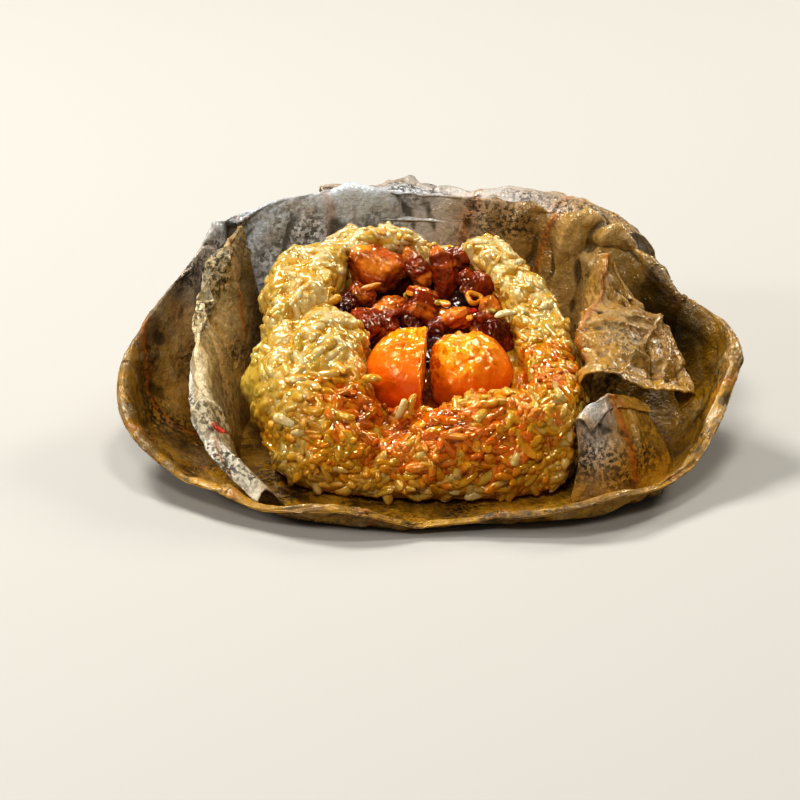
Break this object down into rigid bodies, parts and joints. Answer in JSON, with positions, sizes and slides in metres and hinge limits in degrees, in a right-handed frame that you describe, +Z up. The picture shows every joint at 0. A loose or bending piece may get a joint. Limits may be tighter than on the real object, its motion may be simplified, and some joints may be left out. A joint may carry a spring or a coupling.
{
  "type": "lotus leaf sticky rice",
  "caption": "Steamed sticky rice parcel lying open on its own folded lotus leaf, with braised meat chunks and a halved salted egg yolk in its hollow middle.",
  "frame": {"origin": "on the surface the leaf rests on, under the middle of the part's box", "axes": "+X to the right as shown, +Y away from the viewer toward the high back of the leaf, +Z up"},
  "size_m": [0.1519, 0.1416, 0.0475],
  "materials": {
    "leaf": "dull, creased",
    "rice": "moist, slightly see-through",
    "yolk": "moist, oily",
    "meat": "glazed with sauce"
  },
  "bodies": {
    "root": {"leaf": "leaf", "rice": "rice", "yolk_left": "yolk", "yolk_right": "yolk", "meat_01": "meat", "meat_02": "meat", "meat_03": "meat", "meat_04": "meat", "meat_05": "meat", "meat_06": "meat", "meat_07": "meat", "meat_08": "meat", "meat_09": "meat", "meat_10": "meat", "meat_11": "meat", "meat_12": "meat", "meat_13": "meat", "meat_14": "meat", "meat_15": "meat", "meat_16": "meat", "meat_17": "meat", "meat_18": "meat"}
  },
  "joints": []
}
